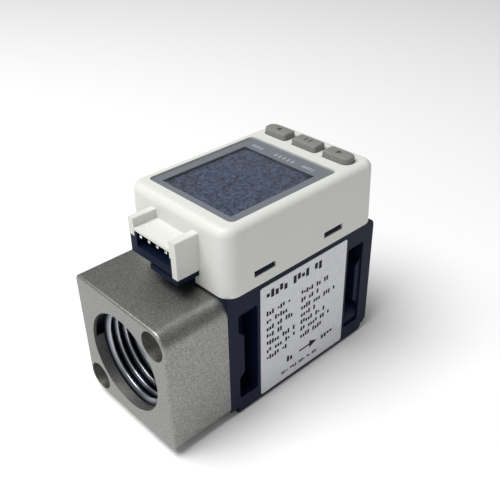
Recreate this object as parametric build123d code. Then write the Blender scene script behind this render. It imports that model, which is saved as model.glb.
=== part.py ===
from build123d import *
import os

# Flow switch with one metal port block, a moulded flow body and a display unit on top.
# Millimetres. The origin is the centre of the inlet port on its outer face,
# +X is the flow direction, +Z is up, and the label is on the -Y side.

# Inlet port block, half-inch pipe thread
PORT_RADIUS = 10.48
PORT_WALL = 3.52
PORT_DEPTH = 12.4
BLOCK_LENGTH = 14.55
BLOCK_ROUND_CORNER = 3.4
BLOCK_PLAIN_CORNER = 1.3
BLOCK_EDGE = 0.5
PASSAGE_STEP = 3.08

# Block screws, M3 with a cross recess, in two opposite corners
SCREW_RADIUS = 1.5
SCREW_HEAD_RADIUS = 2.75
SCREW_HEAD_HEIGHT = 2.4
SCREW_SUNK = 2.8
SCREW_GRIP = 6.0
SCREW_CORNER_WALL = 0.65
HEAD_CLEARANCE = 0.3
SHANK_CLEARANCE = 0.2
THREAD_CLEARANCE = 0.05
CROSS_WIDTH = 0.8
CROSS_LENGTH = 3.2
CROSS_DEPTH = 1.2
INSERT_RADIUS = 2.3
INSERT_LENGTH = 7.2
EMPTY_THREAD_RADIUS = 1.25

# Moulded flow body
BODY_TAIL = 0.9
BODY_RISE = 0.55
BODY_DROP = 0.2
END_FLANGE = 2.3
BELLY_DROP = 1.9
BELLY_CHAMFER = 1.3
BELLY_EDGE = 0.7
BODY_TOP_CORNER = 2.0
BODY_FOOT_CHAMFER = 1.0
CHANNEL_STEP = 0.9

# Side pockets that keep the moulded walls even
POCKET_WIDTH = 5.0
POCKET_INLET_INSET = 2.65
POCKET_OUTLET_INSET = 3.15
POCKET_TOP = 4.3
POCKET_FOOT = 2.2
POCKET_DEPTH = 4.5
POCKET_CORNER = 0.6
TAB_WIDTH = 1.7
TAB_HEIGHT = 9.2
TAB_RISE = 0.15
TAB_CHAMFER = 1.6
TAB_SUNK = 0.35
BOSS_WALL = 1.0

# Screens, flow straightener, outlet ring and seals
CARTRIDGE_STEP = 0.9
SCREEN_THICKNESS = 0.5
STRAIGHTENER_THICKNESS = 3.0
STRAIGHTENER_RIM = 1.3
STRAIGHTENER_CELL_SHARE = 0.4
RING_LENGTH = 2.0
SEAL_THICKNESS = 1.3
SEAL_SQUASH = 0.06
SEAL_LAND = 0.9
RESTRICTOR_LENGTH = 5.0
RESTRICTOR_STEP = 2.3
SEAT_CLEARANCE = 0.05

# Sensor chamber in the top of the flow body
CHAMBER_LENGTH = 17.0
CHAMBER_WIDTH = 12.4
CHAMBER_DEPTH = 5.4
CHAMBER_CORNER = 1.0
TAPPING_RADIUS = 1.1
TAPPING_SPACING = 9.0
GASKET_THICKNESS = 1.0
CARRIER_HEIGHT = 3.6
CARRIER_GROOVE_DEPTH = 1.4
CARRIER_GROOVE_WIDTH = 2.6
CHIP_SIZE = 2.0
CHIP_THICKNESS = 0.6
SENSOR_BOARD_THICKNESS = 1.2
CARRIER_SCREW_RADIUS = 1.0
CARRIER_SCREW_INSET = 2.1
CARRIER_SCREW_BITE = 2.4
LINK_PIN_SIDE = 0.5
LINK_PIN_PITCH = 2.0
LINK_PINS = 4
LINK_BLOCK_HEIGHT = 2.2

# Display housing. Its length, width and height follow from what it covers.
HOUSING_SIDE_STEP = 0.6
HOUSING_OVERHANG = 0.25
HOUSING_DRAFT = 0.25
HOUSING_CORNER = 3.0
HOUSING_TOP_EDGE = 1.7
HOUSING_WALL = 1.5
HOUSING_ROOF = 2.2

# Snap windows in the housing's long walls and the hooks on the body's rim
SLOT_LENGTH = 5.6
SLOT_HEIGHT = 1.35
SLOT_RISE = 2.2
SLOT_SPACING = 19.25
SLOT_SHIFT = 1.9
HOOK_CLEARANCE = 0.15
HOOK_REACH = 0.75
RIM_CLEARANCE = 0.2
RIM_WALL = 1.3
RIM_HEIGHT = 3.8

# Display window, liquid crystal panel and its backlight
WINDOW_LENGTH = 28.3
WINDOW_CORNER = 1.2
WINDOW_THICKNESS = 0.9
WINDOW_SUNK = 0.35
WINDOW_INSET = 3.6
WINDOW_SIDE_INSET = 2.45
WINDOW_LEDGE = 1.2
WINDOW_GAP = 0.08
PANEL_GAP = 0.1
PANEL_THICKNESS = 1.8
PANEL_MARGIN = 0.3
BACKLIGHT_THICKNESS = 1.9
BACKLIGHT_LEG = 1.4
BACKLIGHT_LEG_HEIGHT = 1.27
CONTACT_WIDTH = 1.6

# Keys, their switches and their travel
KEY_WIDTH = 3.5
KEY_SPACING = 1.85
KEY_SIDE_INSET = 2.625
KEY_CORNER = 0.6
KEY_ROUND_END = 1.6
KEY_EDGE = 0.45
KEY_STANDS = 1.4
KEY_TO_WINDOW = 2.9
KEY_INSET = 3.8
KEY_GAP = 0.15
KEY_FLANGE = 0.6
KEY_FLANGE_THICKNESS = 0.8
KEY_FLANGE_GAP = 0.05
KEY_STEM_RADIUS = 1.2
KEY_TRAVEL = 0.3
SWITCH_SIDE = 4.4
SWITCH_HEIGHT = 1.5
PLUNGER_RADIUS = 0.9
PLUNGER_GAP = 0.2
PLUNGER_STANDS = 0.6
PLUNGER_SUNK = 0.6

# Main board
BOARD_THICKNESS = 1.6
BOARD_ROOM = 1.48
BOARD_GAP = 0.4
POST_RADIUS = 1.5
POST_INSET = 1.4
REST_WIDTH = 3.0
REST_OVERLAP = 1.3
BOARD_SCREW_RADIUS = 0.9
BOARD_SCREW_HEAD_RADIUS = 1.6
BOARD_SCREW_HEAD_HEIGHT = 1.0
BOARD_SCREW_BITE = 2.6

# Connector on the inlet end of the display housing
HOOD_REACH = 5.15
HOOD_ROOF_DROP = 1.9
HOOD_ROOF_THICKNESS = 0.6
EAR_THICKNESS = 1.5
EAR_STEP = 0.4
LONG_EAR_DROP = 7.9
SHORT_EAR_DROP = 3.7
EAR_EDGE = 0.3
PIN_COUNT = 4
PIN_PITCH = 2.5
PIN_SIDE = 0.64
PIN_BELOW_ROOF = 0.75
PIN_TO_EAR = 1.75
PIN_SUNK = 0.15
PIN_TAIL = 4.0
HEADER_GAP = 0.06
HEADER_BACK = 3.2
HEADER_SIDE_WALL = 0.5
HEADER_FLOOR = 1.8
HEADER_FLOOR_DROP = 5.1
SOCKET_DEPTH = 4.4
TONGUE_THICKNESS = 1.1
TONGUE_GAP = 0.45
TONGUE_RIGHT = 6.8
TONGUE_LEFT = 1.3

# Rating label on the -Y side
LABEL_THICKNESS = 0.12
LABEL_SIDE_GAP = 0.75
LABEL_TOP_GAP = 1.7
LABEL_FOOT_GAP = 1.3
LABEL_CORNER = 0.5

# Bottom holes for the screws of a mounting bracket
BRACKET_HOLE_RADIUS = 1.25
BRACKET_HOLE_DEPTH = 6.0
BRACKET_SPACING_X = 20.0
BRACKET_SPACING_Y = 18.0

# How far a cut runs past the face that it opens
OVERCUT = 1.0

# Places that follow from the sizes above
HALF_SIDE = PORT_RADIUS + PORT_WALL
PASSAGE_RADIUS = PORT_RADIUS - PASSAGE_STEP
CHANNEL_RADIUS = PASSAGE_RADIUS - CHANNEL_STEP
CARTRIDGE_RADIUS = PASSAGE_RADIUS + CARTRIDGE_STEP
COUNTERBORE_RADIUS = SCREW_HEAD_RADIUS + HEAD_CLEARANCE
SCREW_OFFSET = HALF_SIDE - SCREW_CORNER_WALL - COUNTERBORE_RADIUS
HEAD_SEAT_X = SCREW_SUNK + SCREW_HEAD_HEIGHT
SCREW_TIP_X = BLOCK_LENGTH + SCREW_GRIP

BODY_START = BLOCK_LENGTH
BODY_TOP = HALF_SIDE + BODY_RISE
FLANGE_FOOT = BODY_DROP - HALF_SIDE
BELLY_FOOT = FLANGE_FOOT - BELLY_DROP

DISPLAY_STACK = (WINDOW_SUNK + WINDOW_THICKNESS + PANEL_GAP + PANEL_THICKNESS
                 + BACKLIGHT_THICKNESS + BACKLIGHT_LEG_HEIGHT)
HOUSING_WIDTH = 2 * (HALF_SIDE + HOUSING_SIDE_STEP)
HOUSING_HEIGHT = RIM_HEIGHT + BOARD_ROOM + BOARD_SCREW_HEAD_HEIGHT + BOARD_THICKNESS + DISPLAY_STACK
HOUSING_TOP = BODY_TOP + HOUSING_HEIGHT
HOUSING_START = BODY_START - HOUSING_OVERHANG
WINDOW_START = HOUSING_START + WINDOW_INSET
KEY_START = WINDOW_START + WINDOW_LENGTH + KEY_TO_WINDOW
HOUSING_END = KEY_START + KEY_WIDTH + KEY_INSET
HOUSING_LENGTH = HOUSING_END - HOUSING_START
HOUSING_MIDDLE = (HOUSING_START + HOUSING_END) / 2
ROOF_UNDER = HOUSING_TOP - HOUSING_ROOF
SLOT_LOW = BODY_TOP + SLOT_RISE
SLOT_MIDDLE = HOUSING_MIDDLE - SLOT_SHIFT
SLOT_CENTRES = (SLOT_MIDDLE - SLOT_SPACING / 2, SLOT_MIDDLE + SLOT_SPACING / 2)
RIM_LENGTH = HOUSING_LENGTH - 2 * (HOUSING_WALL + HOUSING_DRAFT + RIM_CLEARANCE)
RIM_WIDTH = HOUSING_WIDTH - 2 * (HOUSING_WALL + HOUSING_DRAFT + RIM_CLEARANCE)

BODY_END = HOUSING_END + BODY_TAIL
BODY_MIDDLE = (BODY_START + BODY_END) / 2
CARTRIDGE_DEPTH = SCREEN_THICKNESS + STRAIGHTENER_THICKNESS
STRAIGHTENER_PITCH = (CARTRIDGE_RADIUS - SEAT_CLEARANCE - STRAIGHTENER_RIM) / (2 + STRAIGHTENER_CELL_SHARE)
STRAIGHTENER_CELL = STRAIGHTENER_PITCH * STRAIGHTENER_CELL_SHARE
SEAL_INNER = CARTRIDGE_RADIUS + SEAL_LAND
BOSS_RADIUS = INSERT_RADIUS + BOSS_WALL
POCKET_HIGH = HALF_SIDE - POCKET_TOP
POCKET_LOW = FLANGE_FOOT + POCKET_FOOT
POCKET_STARTS = (BODY_START + POCKET_INLET_INSET, BODY_END - POCKET_OUTLET_INSET - POCKET_WIDTH)

WINDOW_WIDTH = HOUSING_WIDTH - 2 * WINDOW_SIDE_INSET
WINDOW_MIDDLE = WINDOW_START + WINDOW_LENGTH / 2
WINDOW_TOP = HOUSING_TOP - WINDOW_SUNK
WINDOW_UNDER = WINDOW_TOP - WINDOW_THICKNESS
VIEW_LENGTH = WINDOW_LENGTH - 2 * WINDOW_LEDGE
VIEW_WIDTH = WINDOW_WIDTH - 2 * WINDOW_LEDGE
PANEL_TOP = WINDOW_UNDER - PANEL_GAP
PANEL_UNDER = PANEL_TOP - PANEL_THICKNESS
BACKLIGHT_UNDER = PANEL_UNDER - BACKLIGHT_THICKNESS
BOARD_TOP = BACKLIGHT_UNDER - BACKLIGHT_LEG_HEIGHT
BOARD_UNDER = BOARD_TOP - BOARD_THICKNESS

PIN_Z = BOARD_TOP + PIN_SIDE / 2
HOOD_ROOF_UNDER = PIN_Z + PIN_BELOW_ROOF
HOOD_ROOF_TOP = HOOD_ROOF_UNDER + HOOD_ROOF_THICKNESS
HOOD_EAR_TOP = HOOD_ROOF_TOP + HOOD_ROOF_DROP
HOOD_FRONT = HOUSING_START - HOOD_REACH
HOOD_HALF_WIDTH = (PIN_COUNT - 1) / 2 * PIN_PITCH + PIN_TO_EAR + EAR_THICKNESS
EAR_STEP_Z = HOOD_EAR_TOP - SHORT_EAR_DROP
HEADER_RIGHT = EAR_THICKNESS - HOOD_HALF_WIDTH
HEADER_UNDER = HOOD_ROOF_UNDER - HEADER_FLOOR_DROP
HEADER_END = HOUSING_START + HEADER_BACK

BOARD_START = HEADER_END
BOARD_END = HOUSING_END - HOUSING_WALL - 2 * HOUSING_DRAFT - BOARD_GAP
BOARD_HALF_WIDTH = HOUSING_WIDTH / 2 - HOUSING_WALL - 2 * HOUSING_DRAFT - BOARD_GAP

KEY_LENGTH = (HOUSING_WIDTH - 2 * KEY_SIDE_INSET - 2 * KEY_SPACING) / 3
KEY_PITCH = KEY_LENGTH + KEY_SPACING
KEY_X = KEY_START + KEY_WIDTH / 2
PANEL_END = WINDOW_MIDDLE + VIEW_LENGTH / 2 - PANEL_MARGIN
POST_X = (PANEL_END + KEY_START - KEY_FLANGE) / 2
POST_Y = BOARD_HALF_WIDTH - POST_INSET
SWITCH_TOP = BOARD_TOP + SWITCH_HEIGHT
PLUNGER_TOP = SWITCH_TOP + PLUNGER_STANDS
KEY_FLANGE_TOP = ROOF_UNDER - KEY_FLANGE_GAP

CHAMBER_FLOOR = BODY_TOP - CHAMBER_DEPTH
GASKET_TOP = CHAMBER_FLOOR + GASKET_THICKNESS
CARRIER_TOP = GASKET_TOP + CARRIER_HEIGHT
SENSOR_BOARD_TOP = CARRIER_TOP + SENSOR_BOARD_THICKNESS
CARRIER_LENGTH = CHAMBER_LENGTH - 2 * SEAT_CLEARANCE
CARRIER_WIDTH = CHAMBER_WIDTH - 2 * SEAT_CLEARANCE
CARRIER_SCREW_X = CHAMBER_LENGTH / 2 - CARRIER_SCREW_INSET
CARRIER_SCREW_Y = CHAMBER_WIDTH / 2 - CARRIER_SCREW_INSET


def slab(length, width, low, high, x=0.0, y=0.0, corner=0.0):
    """Upright block on a rectangle with rounded corners, from height low to high."""
    outline = RectangleRounded(length, width, corner) if corner else Rectangle(length, width)
    return extrude(Pos(x, y, low) * outline, high - low)


def across(x, outline, length):
    """Outline drawn in Y and Z, run along +X from x."""
    return extrude(Plane((x, 0, 0), x_dir=(0, 1, 0), z_dir=(1, 0, 0)) * outline, length)


def turned(profile, y=0.0, z=0.0):
    """Profile of (x, radius) points turned about an axis along X."""
    face = make_face(Polyline(*profile, close=True))
    return Pos(0, y, z) * revolve(face, Axis.X)


def rod(radius, start, end, y=0.0, z=0.0):
    """Round bar or bore along X."""
    return turned([(start, 0), (start, radius), (end, radius), (end, 0)], y, z)


def upright(radius, low, high, x=0.0, y=0.0):
    """Round bar or bore along Z."""
    return extrude(Pos(x, y, low) * Circle(radius), high - low)


def screw_corners(side):
    """The two opposite corners that hold screws, on the inlet (-1) or outlet (+1) end."""
    return [(-SCREW_OFFSET, -side * SCREW_OFFSET), (SCREW_OFFSET, side * SCREW_OFFSET)]


# Inlet port block
def make_inlet_block():
    block = across(0, Rectangle(2 * HALF_SIDE, 2 * HALF_SIDE), BLOCK_LENGTH)
    long_edges = block.edges().filter_by(Axis.X)
    screw_edges = [e for e in long_edges if e.center().Y * e.center().Z < 0]
    block = fillet(screw_edges, BLOCK_ROUND_CORNER)
    plain_edges = [
        e for e in block.edges().filter_by(Axis.X)
        if abs(abs(e.center().Y) - abs(e.center().Z)) < BLOCK_EDGE and e.center().Y * e.center().Z > 0
    ]
    block = fillet(plain_edges, BLOCK_PLAIN_CORNER)
    block = fillet(block.faces().sort_by(Axis.X)[0].edges(), BLOCK_EDGE)
    block -= rod(PORT_RADIUS, -OVERCUT, PORT_DEPTH)
    block -= rod(PASSAGE_RADIUS, -OVERCUT, BLOCK_LENGTH + OVERCUT)
    for y, z in screw_corners(-1):
        block -= rod(COUNTERBORE_RADIUS, -OVERCUT, HEAD_SEAT_X, y, z)
        block -= rod(SCREW_RADIUS + SHANK_CLEARANCE, -OVERCUT, BLOCK_LENGTH + OVERCUT, y, z)
    return block


def make_block_screw(y, z):
    screw = rod(SCREW_HEAD_RADIUS, SCREW_SUNK, HEAD_SEAT_X, y, z)
    screw = fillet(screw.edges().sort_by(Axis.X)[0], SCREW_HEAD_HEIGHT / 5)
    screw += rod(SCREW_RADIUS, HEAD_SEAT_X, SCREW_TIP_X, y, z)
    cross = Rectangle(CROSS_LENGTH, CROSS_WIDTH) + Rectangle(CROSS_WIDTH, CROSS_LENGTH)
    return screw - across(SCREW_SUNK - OVERCUT, Pos(y, z) * cross, CROSS_DEPTH + OVERCUT)


def make_inlet_screws():
    return [make_block_screw(y, z) for y, z in screw_corners(-1)]


def make_screw_insert(low, bore_radius, y, z):
    """Knurled brass bush, drawn plain, that the moulding holds level with its end face."""
    high = low + INSERT_LENGTH
    return rod(INSERT_RADIUS, low, high, y, z) - rod(bore_radius, low - OVERCUT, high + OVERCUT, y, z)


def make_inlet_inserts():
    """The inlet bushes hold screws, so their thread is drawn at its major radius."""
    bore_radius = SCREW_RADIUS + THREAD_CLEARANCE
    return [make_screw_insert(BODY_START, bore_radius, y, z) for y, z in screw_corners(-1)]


def make_outlet_inserts():
    """The outlet bushes are empty, so their thread is drawn at its minor radius."""
    low = BODY_END - INSERT_LENGTH
    return [make_screw_insert(low, EMPTY_THREAD_RADIUS, y, z) for y, z in screw_corners(1)]


# Moulded flow body
def make_body_outline():
    """Side view of the body: flanged ends, a deeper belly and a rounded far top corner."""
    belly_start = BODY_START + END_FLANGE
    belly_end = BODY_END - END_FLANGE + BELLY_CHAMFER / 2
    outline = make_face(Polyline(
        (BODY_START, FLANGE_FOOT),
        (belly_start, FLANGE_FOOT),
        (belly_start, BELLY_FOOT),
        (belly_end - BELLY_CHAMFER, BELLY_FOOT),
        (belly_end, BELLY_FOOT + BELLY_CHAMFER),
        (belly_end, FLANGE_FOOT),
        (BODY_END - BODY_FOOT_CHAMFER, FLANGE_FOOT),
        (BODY_END, FLANGE_FOOT + BODY_FOOT_CHAMFER),
        (BODY_END, BODY_TOP),
        (BODY_START, BODY_TOP),
        close=True,
    ))
    far_top = outline.vertices().group_by(Axis.X)[-1].sort_by(Axis.Y)[-1]
    return fillet(far_top, BODY_TOP_CORNER)


def make_pocket(start, side, tab_on_left):
    """One side pocket with its half-height tab left standing, on the side -1 or +1."""
    height = POCKET_HIGH - POCKET_LOW
    middle = (POCKET_HIGH + POCKET_LOW) / 2
    mouth = Plane((start + POCKET_WIDTH / 2, side * HALF_SIDE, middle), x_dir=(1, 0, 0), z_dir=(0, -1, 0))
    depth = -POCKET_DEPTH if side < 0 else POCKET_DEPTH
    pocket = extrude(mouth * RectangleRounded(POCKET_WIDTH, height, POCKET_CORNER), depth)
    tab_x = (TAB_WIDTH - POCKET_WIDTH) / 2 if tab_on_left else (POCKET_WIDTH - TAB_WIDTH) / 2
    foot_x = tab_x - TAB_WIDTH / 2 if tab_on_left else tab_x + TAB_WIDTH / 2
    tip_x = 2 * tab_x - foot_x
    half = TAB_HEIGHT / 2
    tab_outline = make_face(Polyline(
        (foot_x, -half - TAB_CHAMFER),
        (tip_x, -half),
        (tip_x, half),
        (foot_x, half + TAB_CHAMFER),
        close=True,
    ))
    tab_plane = mouth.offset(TAB_SUNK if side > 0 else -TAB_SUNK)
    return pocket - extrude(tab_plane * Pos(0, TAB_RISE) * tab_outline, depth)


def make_body_rim():
    """Rim that the display housing drops over, with four snap hooks."""
    outer = RectangleRounded(RIM_LENGTH, RIM_WIDTH, HOUSING_CORNER - HOUSING_WALL)
    inner = Rectangle(RIM_LENGTH - 2 * RIM_WALL, RIM_WIDTH - 2 * RIM_WALL)
    rim = extrude(Pos(HOUSING_MIDDLE, 0, BODY_TOP) * (outer - inner), RIM_HEIGHT)
    high = SLOT_LOW + SLOT_HEIGHT - HOOK_CLEARANCE
    low = SLOT_LOW + HOOK_CLEARANCE
    root = RIM_WIDTH / 2
    for side in (-1, 1):
        wedge = make_face(Polyline(
            (side * (root - RIM_WALL / 2), low),
            (side * (root + RIM_CLEARANCE + HOOK_REACH), low),
            (side * (root + RIM_CLEARANCE), high),
            (side * (root - RIM_WALL / 2), high),
            close=True,
        ))
        for centre in SLOT_CENTRES:
            rim += across(centre - SLOT_LENGTH / 2 + HOOK_CLEARANCE, wedge, SLOT_LENGTH - 2 * HOOK_CLEARANCE)
    return rim


def make_flow_body():
    side_plane = Plane((0, HALF_SIDE, 0), x_dir=(1, 0, 0), z_dir=(0, -1, 0))
    body = extrude(side_plane * make_body_outline(), 2 * HALF_SIDE)
    belly_edges = [
        e for e in body.edges().filter_by(Axis.X)
        if abs(e.center().Z - BELLY_FOOT) < BELLY_EDGE
    ]
    body = fillet(belly_edges, BELLY_EDGE)

    for number, start in enumerate(POCKET_STARTS):
        for side in (-1, 1):
            body -= make_pocket(start, side, tab_on_left=number == 0)
    inlet_bosses = [rod(BOSS_RADIUS, BODY_START, BODY_START + INSERT_LENGTH + BOSS_WALL, y, z)
                    for y, z in screw_corners(-1)]
    outlet_bosses = [rod(BOSS_RADIUS, BODY_END - INSERT_LENGTH - BOSS_WALL, BODY_END, y, z)
                     for y, z in screw_corners(1)]
    for boss in inlet_bosses + outlet_bosses:
        body += boss

    body -= rod(CARTRIDGE_RADIUS, BODY_START - OVERCUT, BODY_START + CARTRIDGE_DEPTH)
    body -= rod(CHANNEL_RADIUS, BODY_START, BODY_END)
    body -= rod(CARTRIDGE_RADIUS, BODY_END - SCREEN_THICKNESS - RING_LENGTH, BODY_END + OVERCUT)
    for face_x, depth in ((BODY_START, SEAL_THICKNESS), (BODY_END, -SEAL_THICKNESS)):
        body -= turned([
            (face_x - depth, SEAL_INNER), (face_x - depth, SEAL_INNER + SEAL_THICKNESS),
            (face_x + depth, SEAL_INNER + SEAL_THICKNESS), (face_x + depth, SEAL_INNER),
        ])
    for y, z in screw_corners(-1):
        body -= rod(INSERT_RADIUS, BODY_START - OVERCUT, BODY_START + INSERT_LENGTH, y, z)
    for y, z in screw_corners(1):
        body -= rod(INSERT_RADIUS, BODY_END - INSERT_LENGTH, BODY_END + OVERCUT, y, z)

    body -= slab(CHAMBER_LENGTH, CHAMBER_WIDTH, CHAMBER_FLOOR, BODY_TOP + OVERCUT,
                 BODY_MIDDLE, 0, CHAMBER_CORNER)
    for way in (-1, 1):
        tapping_x = BODY_MIDDLE + way * TAPPING_SPACING / 2
        body -= upright(TAPPING_RADIUS, 0, BODY_TOP, tapping_x)
        body -= upright(CARRIER_SCREW_RADIUS, CHAMBER_FLOOR - CARRIER_SCREW_BITE, BODY_TOP,
                        BODY_MIDDLE + way * CARRIER_SCREW_X, way * CARRIER_SCREW_Y)
    for x in (-BRACKET_SPACING_X / 2, BRACKET_SPACING_X / 2):
        for y in (-BRACKET_SPACING_Y / 2, BRACKET_SPACING_Y / 2):
            body -= upright(BRACKET_HOLE_RADIUS, BELLY_FOOT - OVERCUT, BELLY_FOOT + BRACKET_HOLE_DEPTH,
                            BODY_MIDDLE + x, y)
    return body + make_body_rim()


# Screens, straightener, restrictor and seals
def make_screen(start):
    """Woven screen, drawn as the disc that its wires fill."""
    return rod(CARTRIDGE_RADIUS - SEAT_CLEARANCE, start, start + SCREEN_THICKNESS)


def make_flow_straightener():
    """Disc pierced by a hexagon of round cells."""
    start = BODY_START + SCREEN_THICKNESS
    disc = Circle(CARTRIDGE_RADIUS - SEAT_CLEARANCE)
    disc -= Circle(STRAIGHTENER_CELL)
    for ring, count in ((1, 6), (2, 12)):
        disc -= PolarLocations(ring * STRAIGHTENER_PITCH, count) * Circle(STRAIGHTENER_CELL)
    return across(start, disc, STRAIGHTENER_THICKNESS)


def make_outlet_ring():
    """Split-free ring that holds the outlet screen and ends level with the body's end face."""
    ring = Circle(CARTRIDGE_RADIUS - SEAT_CLEARANCE) - Circle(CHANNEL_RADIUS)
    return across(BODY_END - RING_LENGTH, ring, RING_LENGTH)


def make_flow_restrictor():
    """Throat between the two tappings that makes the pressure drop for the sensor."""
    half = RESTRICTOR_LENGTH / 2
    outer = CHANNEL_RADIUS - SEAT_CLEARANCE
    throat = CHANNEL_RADIUS - RESTRICTOR_STEP
    lead = (outer - throat) / 2
    return turned([
        (BODY_MIDDLE - half, outer), (BODY_MIDDLE + half, outer),
        (BODY_MIDDLE + half, outer - lead / 2), (BODY_MIDDLE + half - lead, throat),
        (BODY_MIDDLE - half + lead, throat), (BODY_MIDDLE - half, outer - lead / 2),
    ])


def make_seal(start, end):
    """Square-section ring in its groove, squashed level with the joint face."""
    inner = SEAL_INNER + SEAL_SQUASH
    outer = SEAL_INNER + SEAL_THICKNESS - SEAL_SQUASH
    return turned([(start, inner), (start, outer), (end, outer), (end, inner)])


# Sensor stack in the chamber
def make_sensor_gasket():
    gasket = slab(CARRIER_LENGTH, CARRIER_WIDTH, CHAMBER_FLOOR, GASKET_TOP, BODY_MIDDLE, 0, CHAMBER_CORNER)
    for way in (-1, 1):
        gasket -= upright(TAPPING_RADIUS, CHAMBER_FLOOR, GASKET_TOP, BODY_MIDDLE + way * TAPPING_SPACING / 2)
    return gasket - carrier_screw_holes(CHAMBER_FLOOR, GASKET_TOP)


def carrier_screw_holes(low, high):
    holes = [
        upright(CARRIER_SCREW_RADIUS + SHANK_CLEARANCE, low, high,
                BODY_MIDDLE + way * CARRIER_SCREW_X, way * CARRIER_SCREW_Y)
        for way in (-1, 1)
    ]
    return holes[0] + holes[1]


def make_sensor_carrier():
    carrier = slab(CARRIER_LENGTH, CARRIER_WIDTH, GASKET_TOP, CARRIER_TOP, BODY_MIDDLE, 0, CHAMBER_CORNER)
    groove_length = TAPPING_SPACING + 2 * TAPPING_RADIUS
    groove_top = GASKET_TOP + CARRIER_GROOVE_DEPTH
    carrier -= slab(groove_length, CARRIER_GROOVE_WIDTH, GASKET_TOP, groove_top, BODY_MIDDLE)
    return carrier - carrier_screw_holes(GASKET_TOP, CARRIER_TOP)


def make_sensor_chip():
    groove_top = GASKET_TOP + CARRIER_GROOVE_DEPTH
    return slab(CHIP_SIZE, CHIP_SIZE, groove_top - CHIP_THICKNESS, groove_top, BODY_MIDDLE)


def make_sensor_board():
    board = slab(CARRIER_LENGTH, CARRIER_WIDTH, CARRIER_TOP, SENSOR_BOARD_TOP, BODY_MIDDLE, 0, CHAMBER_CORNER)
    return board - carrier_screw_holes(CARRIER_TOP, SENSOR_BOARD_TOP)


def make_sensor_screws():
    screws = []
    for way in (-1, 1):
        x = BODY_MIDDLE + way * CARRIER_SCREW_X
        y = way * CARRIER_SCREW_Y
        shank = upright(CARRIER_SCREW_RADIUS - THREAD_CLEARANCE, CHAMBER_FLOOR - CARRIER_SCREW_BITE,
                        SENSOR_BOARD_TOP, x, y)
        head = upright(BOARD_SCREW_HEAD_RADIUS, SENSOR_BOARD_TOP,
                       SENSOR_BOARD_TOP + BOARD_SCREW_HEAD_HEIGHT, x, y)
        screws.append(shank + head)
    return screws


def link_pin_places():
    return [(number - (LINK_PINS - 1) / 2) * LINK_PIN_PITCH for number in range(LINK_PINS)]


def make_link_header():
    """Moulded strip that carries the pins between the two boards."""
    length = LINK_PINS * LINK_PIN_PITCH
    strip = slab(length, LINK_PIN_PITCH, SENSOR_BOARD_TOP, SENSOR_BOARD_TOP + LINK_BLOCK_HEIGHT, BODY_MIDDLE)
    side = LINK_PIN_SIDE + 2 * SEAT_CLEARANCE
    for place in link_pin_places():
        strip -= slab(side, side, SENSOR_BOARD_TOP, SENSOR_BOARD_TOP + LINK_BLOCK_HEIGHT, BODY_MIDDLE + place)
    return strip


def make_link_pins():
    return [slab(LINK_PIN_SIDE, LINK_PIN_SIDE, SENSOR_BOARD_TOP, BOARD_UNDER, BODY_MIDDLE + place)
            for place in link_pin_places()]


# Display housing
def housing_outline(shrink, height):
    """Rounded outline of the housing at a height, pulled in by shrink on every side."""
    draft = HOUSING_DRAFT * (height - BODY_TOP) / HOUSING_HEIGHT
    length = HOUSING_LENGTH - 2 * (shrink + draft)
    width = HOUSING_WIDTH - 2 * (shrink + draft)
    return Pos(HOUSING_MIDDLE, 0, height) * RectangleRounded(length, width, HOUSING_CORNER - shrink)


def make_hood():
    """Roof and two unequal ears that shroud the connector, one moulding with the housing."""
    right = -HOOD_HALF_WIDTH
    left = HOOD_HALF_WIDTH
    ear_inner = HOOD_HALF_WIDTH - EAR_THICKNESS
    step_inner = EAR_STEP - ear_inner
    profile = make_face(Polyline(
        (left, HOOD_EAR_TOP),
        (ear_inner, HOOD_EAR_TOP),
        (ear_inner, HOOD_ROOF_TOP),
        (step_inner, HOOD_ROOF_TOP),
        (step_inner, HOOD_EAR_TOP),
        (right, HOOD_EAR_TOP),
        (right, HOOD_EAR_TOP - LONG_EAR_DROP),
        (-ear_inner, HOOD_EAR_TOP - LONG_EAR_DROP),
        (-ear_inner, EAR_STEP_Z),
        (step_inner, EAR_STEP_Z),
        (step_inner, HOOD_ROOF_UNDER),
        (ear_inner, HOOD_ROOF_UNDER),
        (ear_inner, EAR_STEP_Z),
        (left, EAR_STEP_Z),
        close=True,
    ))
    hood = across(HOOD_FRONT, profile, HOOD_REACH + HOUSING_WALL / 2)
    ear_edges = [e for e in hood.edges().filter_by(Axis.X) if e.center().Z > HOOD_ROOF_TOP + EAR_EDGE]
    return fillet(ear_edges, EAR_EDGE)


def key_centres():
    return {"down": -KEY_PITCH, "set": 0.0, "up": KEY_PITCH}


def key_outline(name, grow):
    """Plan of a key: the outer keys have one round end, the middle one is a plain rectangle."""
    outline = RectangleRounded(KEY_LENGTH + 2 * grow, KEY_WIDTH + 2 * grow, KEY_CORNER + grow)
    if name != "set":
        round_end = RectangleRounded(KEY_LENGTH + 2 * grow, KEY_WIDTH + 2 * grow, KEY_ROUND_END + grow)
        outer_half = Pos(KEY_LENGTH / 2, 0) * Rectangle(KEY_LENGTH + 2 * grow, 2 * KEY_LENGTH)
        outline = (outline - outer_half) + (round_end & outer_half)
        if name == "down":
            outline = Rot(0, 0, 180) * outline
    return Rot(0, 0, 90) * outline


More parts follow.
